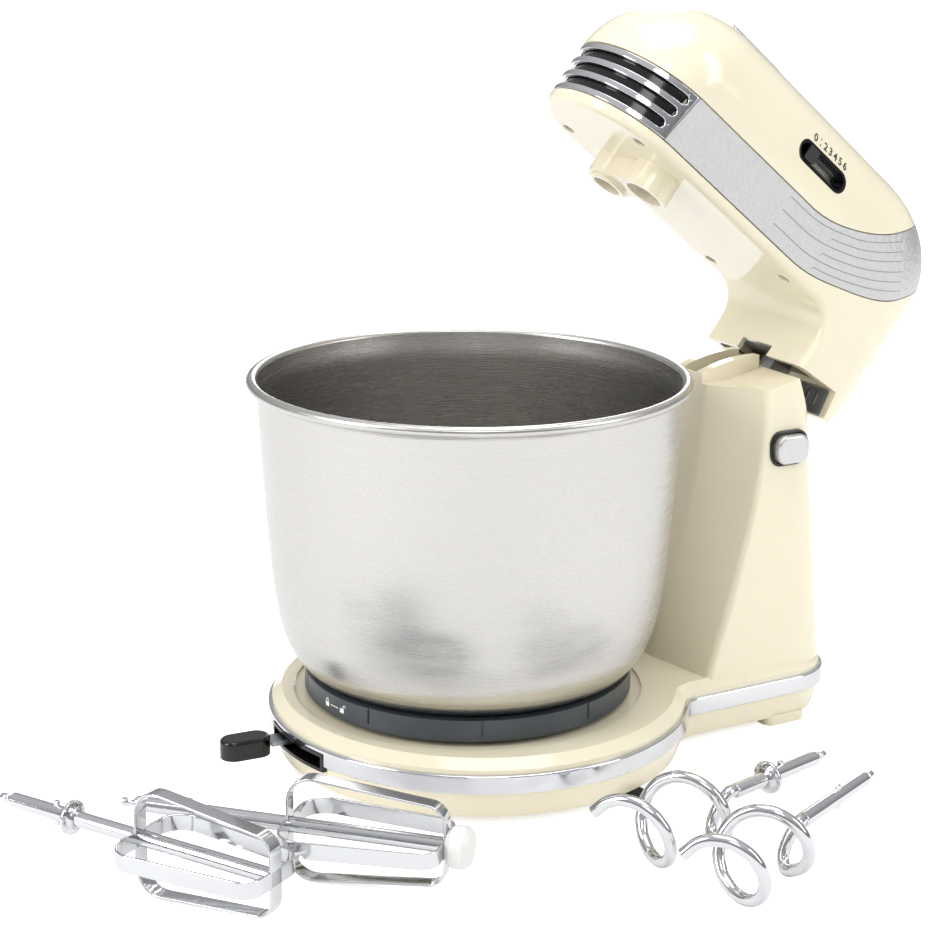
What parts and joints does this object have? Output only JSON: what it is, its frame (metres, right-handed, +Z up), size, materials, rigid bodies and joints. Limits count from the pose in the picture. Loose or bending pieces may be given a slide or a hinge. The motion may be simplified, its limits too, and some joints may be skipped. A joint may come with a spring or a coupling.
{
  "type": "stand mixer",
  "caption": "Tilt-head stand mixer with a steel bowl on a turning ring, a rounded motor head with twin tool sockets, and loose beaters and dough hooks beside it.",
  "frame": {"origin": "on the table under the bowl's axis", "axes": "+Z up, -Y to the mixer's front, +Y to the column, +X to the side with the speed slider and release button"},
  "size_m": [0.3057, 0.4611, 0.3296],
  "materials": {
    "cream_abs": "gloss",
    "silver_band": "satin metallic",
    "chrome_trim": "polished",
    "bowl_steel": "brushed",
    "tool_steel": "polished",
    "dark_grey": "satin",
    "black_plastic": "gloss",
    "grey_plastic": "matt",
    "pale_silver": "satin",
    "rubber": "matt",
    "plain_steel": "rolled",
    "spring_steel": "drawn",
    "sheet_steel": "zinc plated",
    "cast": "rough",
    "core_steel": "laminated",
    "copper": "machined",
    "nylon": "matt",
    "bronze": "sintered",
    "mesh_black": "matt",
    "hub_plastic": "satin"
  },
  "bodies": {
    "stand": {"stand_shell": "cream_abs", "base_lower_shell": "cream_abs", "base_trim": "chrome_trim", "lever_slot_liner": "black_plastic", "base_weight": "cast", "front_feet": "rubber", "hinge_bracket": "sheet_steel", "hinge_pin": "plain_steel", "tilt_spring": "spring_steel", "button_bezel": "black_plastic", "cord_grommet": "rubber", "stand_screws": "plain_steel", "carriage_pivot": "nylon"},
    "head": {"upper_cover": "cream_abs", "lower_shell": "cream_abs", "side_band": "silver_band", "front_grille": "chrome_trim", "grille_backing": "mesh_black", "speed_bezel": "black_plastic", "speed_switch": "nylon", "eject_bezel": "cream_abs", "eject_spring": "spring_steel", "neck_vent_cover": "grey_plastic", "hinge_arm": "sheet_steel", "gearbox_housing": "nylon", "motor_stator": "core_steel", "motor_bracket": "sheet_steel", "motor_bushes": "bronze", "brush_holders": "bronze", "socket_rings": "grey_plastic", "head_screws": "plain_steel"},
    "rotor": {"motor_shaft": "plain_steel", "rotor_core": "core_steel", "commutator": "copper", "cooling_fan": "black_plastic"},
    "left_drive": {"left_spindle": "plain_steel", "left_worm_wheel": "nylon"},
    "right_drive": {"right_spindle": "plain_steel", "right_worm_wheel": "nylon"},
    "speed_knob": {"speed_slider": "black_plastic"},
    "eject_key": {"eject_button": "cream_abs"},
    "release_key": {"release_button": "pale_silver", "button_spring": "spring_steel"},
    "carriage": {"carriage_plate": "sheet_steel", "turntable_post": "nylon", "lever_arm": "sheet_steel", "lever_knob": "black_plastic"},
    "turntable": {"turntable_ring": "dark_grey", "turntable_bush": "nylon"},
    "bowl_body": {"bowl": "bowl_steel", "bowl_foot": "bowl_steel"},
    "beater_one": {"beater_collared": "tool_steel"},
    "beater_two": {"beater_plain": "tool_steel", "beater_hub": "hub_plastic"},
    "hook_one": {"dough_hook_collared": "tool_steel"},
    "hook_two": {"dough_hook_plain": "tool_steel"}
  },
  "joints": [
    {"name": "head_tilt", "type": "hinge", "parent": "stand", "child": "head", "pos_m": [0, 0.147, 0.133], "axis": [1, 0, 0], "range_deg": [0, 39]},
    {"name": "rotor_turn", "type": "hinge", "parent": "head", "child": "rotor", "pos_m": [0, 0.13666, 0.25847], "axis": [0, 0.7771, -0.6293], "continuous": true},
    {"name": "left_drive_turn", "type": "hinge", "parent": "head", "child": "left_drive", "pos_m": [-0.0147, 0.0914, 0.26424], "axis": [0, -0.6293, -0.7771], "continuous": true},
    {"name": "right_drive_turn", "type": "hinge", "parent": "head", "child": "right_drive", "pos_m": [0.0147, 0.0914, 0.26424], "axis": [0, -0.6293, -0.7771], "continuous": true},
    {"name": "speed_slide", "type": "slide", "parent": "head", "child": "speed_knob", "axis": [0, 0.7771, -0.6293], "range_m": [0, 0.018]},
    {"name": "eject_press", "type": "slide", "parent": "head", "child": "eject_key", "axis": [0, -0.6293, -0.7771], "range_m": [0, 0.003], "stiffness_N_per_m": 400, "springref_m": -0.004},
    {"name": "release_press", "type": "slide", "parent": "stand", "child": "release_key", "axis": [-1, 0, 0], "range_m": [0, 0.003], "stiffness_N_per_m": 400, "springref_m": -0.004},
    {"name": "bowl_shift", "type": "hinge", "parent": "stand", "child": "carriage", "pos_m": [0, 0.062, 0.02], "axis": [0, 0, 1], "range_deg": [-2, 9]},
    {"name": "turntable_turn", "type": "hinge", "parent": "carriage", "child": "turntable", "pos_m": [0, 0, 0.033], "axis": [0, 0, 1], "continuous": true},
    {"name": "bowl_lift", "type": "slide", "parent": "turntable", "child": "bowl_body", "axis": [0, 0, 1], "range_m": [0, 0.015]},
    {"name": "beater_one_lift", "type": "slide", "parent": "stand", "child": "beater_one", "axis": [0, 0, 1], "range_m": [0, 0.05]},
    {"name": "beater_two_lift", "type": "slide", "parent": "stand", "child": "beater_two", "axis": [0, 0, 1], "range_m": [0, 0.05]},
    {"name": "hook_one_lift", "type": "slide", "parent": "stand", "child": "hook_one", "axis": [0, 0, 1], "range_m": [0, 0.05]},
    {"name": "hook_two_lift", "type": "slide", "parent": "stand", "child": "hook_two", "axis": [0, 0, 1], "range_m": [0, 0.05]}
  ],
  "couplings": [
    {"joint": "left_drive_turn", "follows": "rotor_turn", "ratio": 0.05},
    {"joint": "right_drive_turn", "follows": "rotor_turn", "ratio": -0.05}
  ]
}
